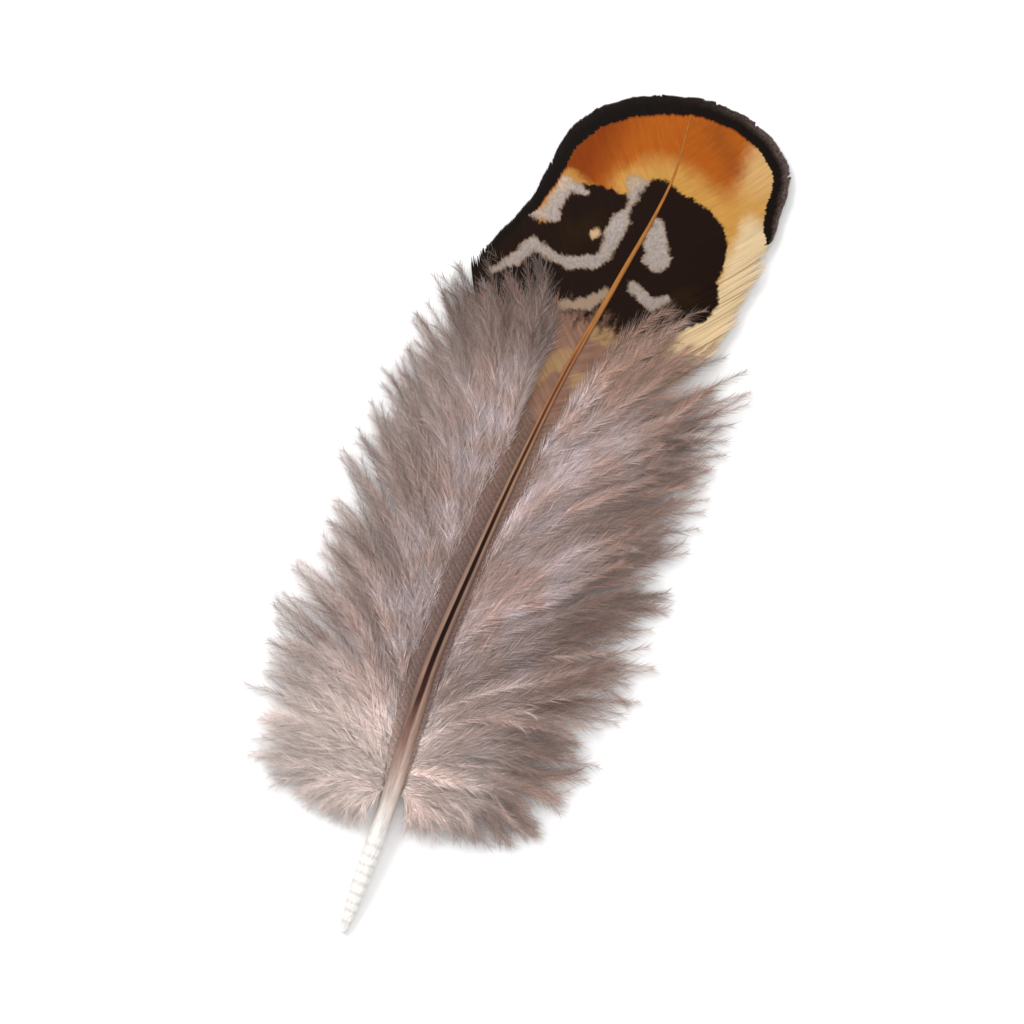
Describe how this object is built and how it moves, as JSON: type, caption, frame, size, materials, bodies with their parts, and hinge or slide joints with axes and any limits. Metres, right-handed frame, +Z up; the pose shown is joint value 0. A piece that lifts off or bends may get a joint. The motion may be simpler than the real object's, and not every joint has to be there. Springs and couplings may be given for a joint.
{
  "type": "pheasant feather",
  "caption": "Body feather of a pheasant lying flat: clear quill, brown shaft, black-edged golden tip with barred centre, and loose grey down along the lower shaft.",
  "frame": {"origin": "middle of the afterfeather's flat underside, on the surface that the feather lies on", "axes": "+Y along the feather from the quill to the tip, +Z up out of the patterned side, +X to the right seen from above with the tip ahead"},
  "size_m": [0.0371, 0.091, 0.0062],
  "materials": {
    "shaft_keratin": "smooth horny keratin, orange-brown on the rachis and clear milky white at the quill",
    "barred_vane": "close barbs, golden orange with a black edge, a chocolate-black middle and white bars, with a slight silky gloss",
    "grey_down": "soft matte lilac-grey down, browner at the roots and paler at the tips",
    "pale_down": "soft matte pale grey down"
  },
  "bodies": {
    "root": {"shaft": "shaft_keratin", "vane_left": "barred_vane", "vane_right": "barred_vane", "down_left": "grey_down", "down_right": "grey_down", "afterfeather": "pale_down"}
  },
  "joints": []
}
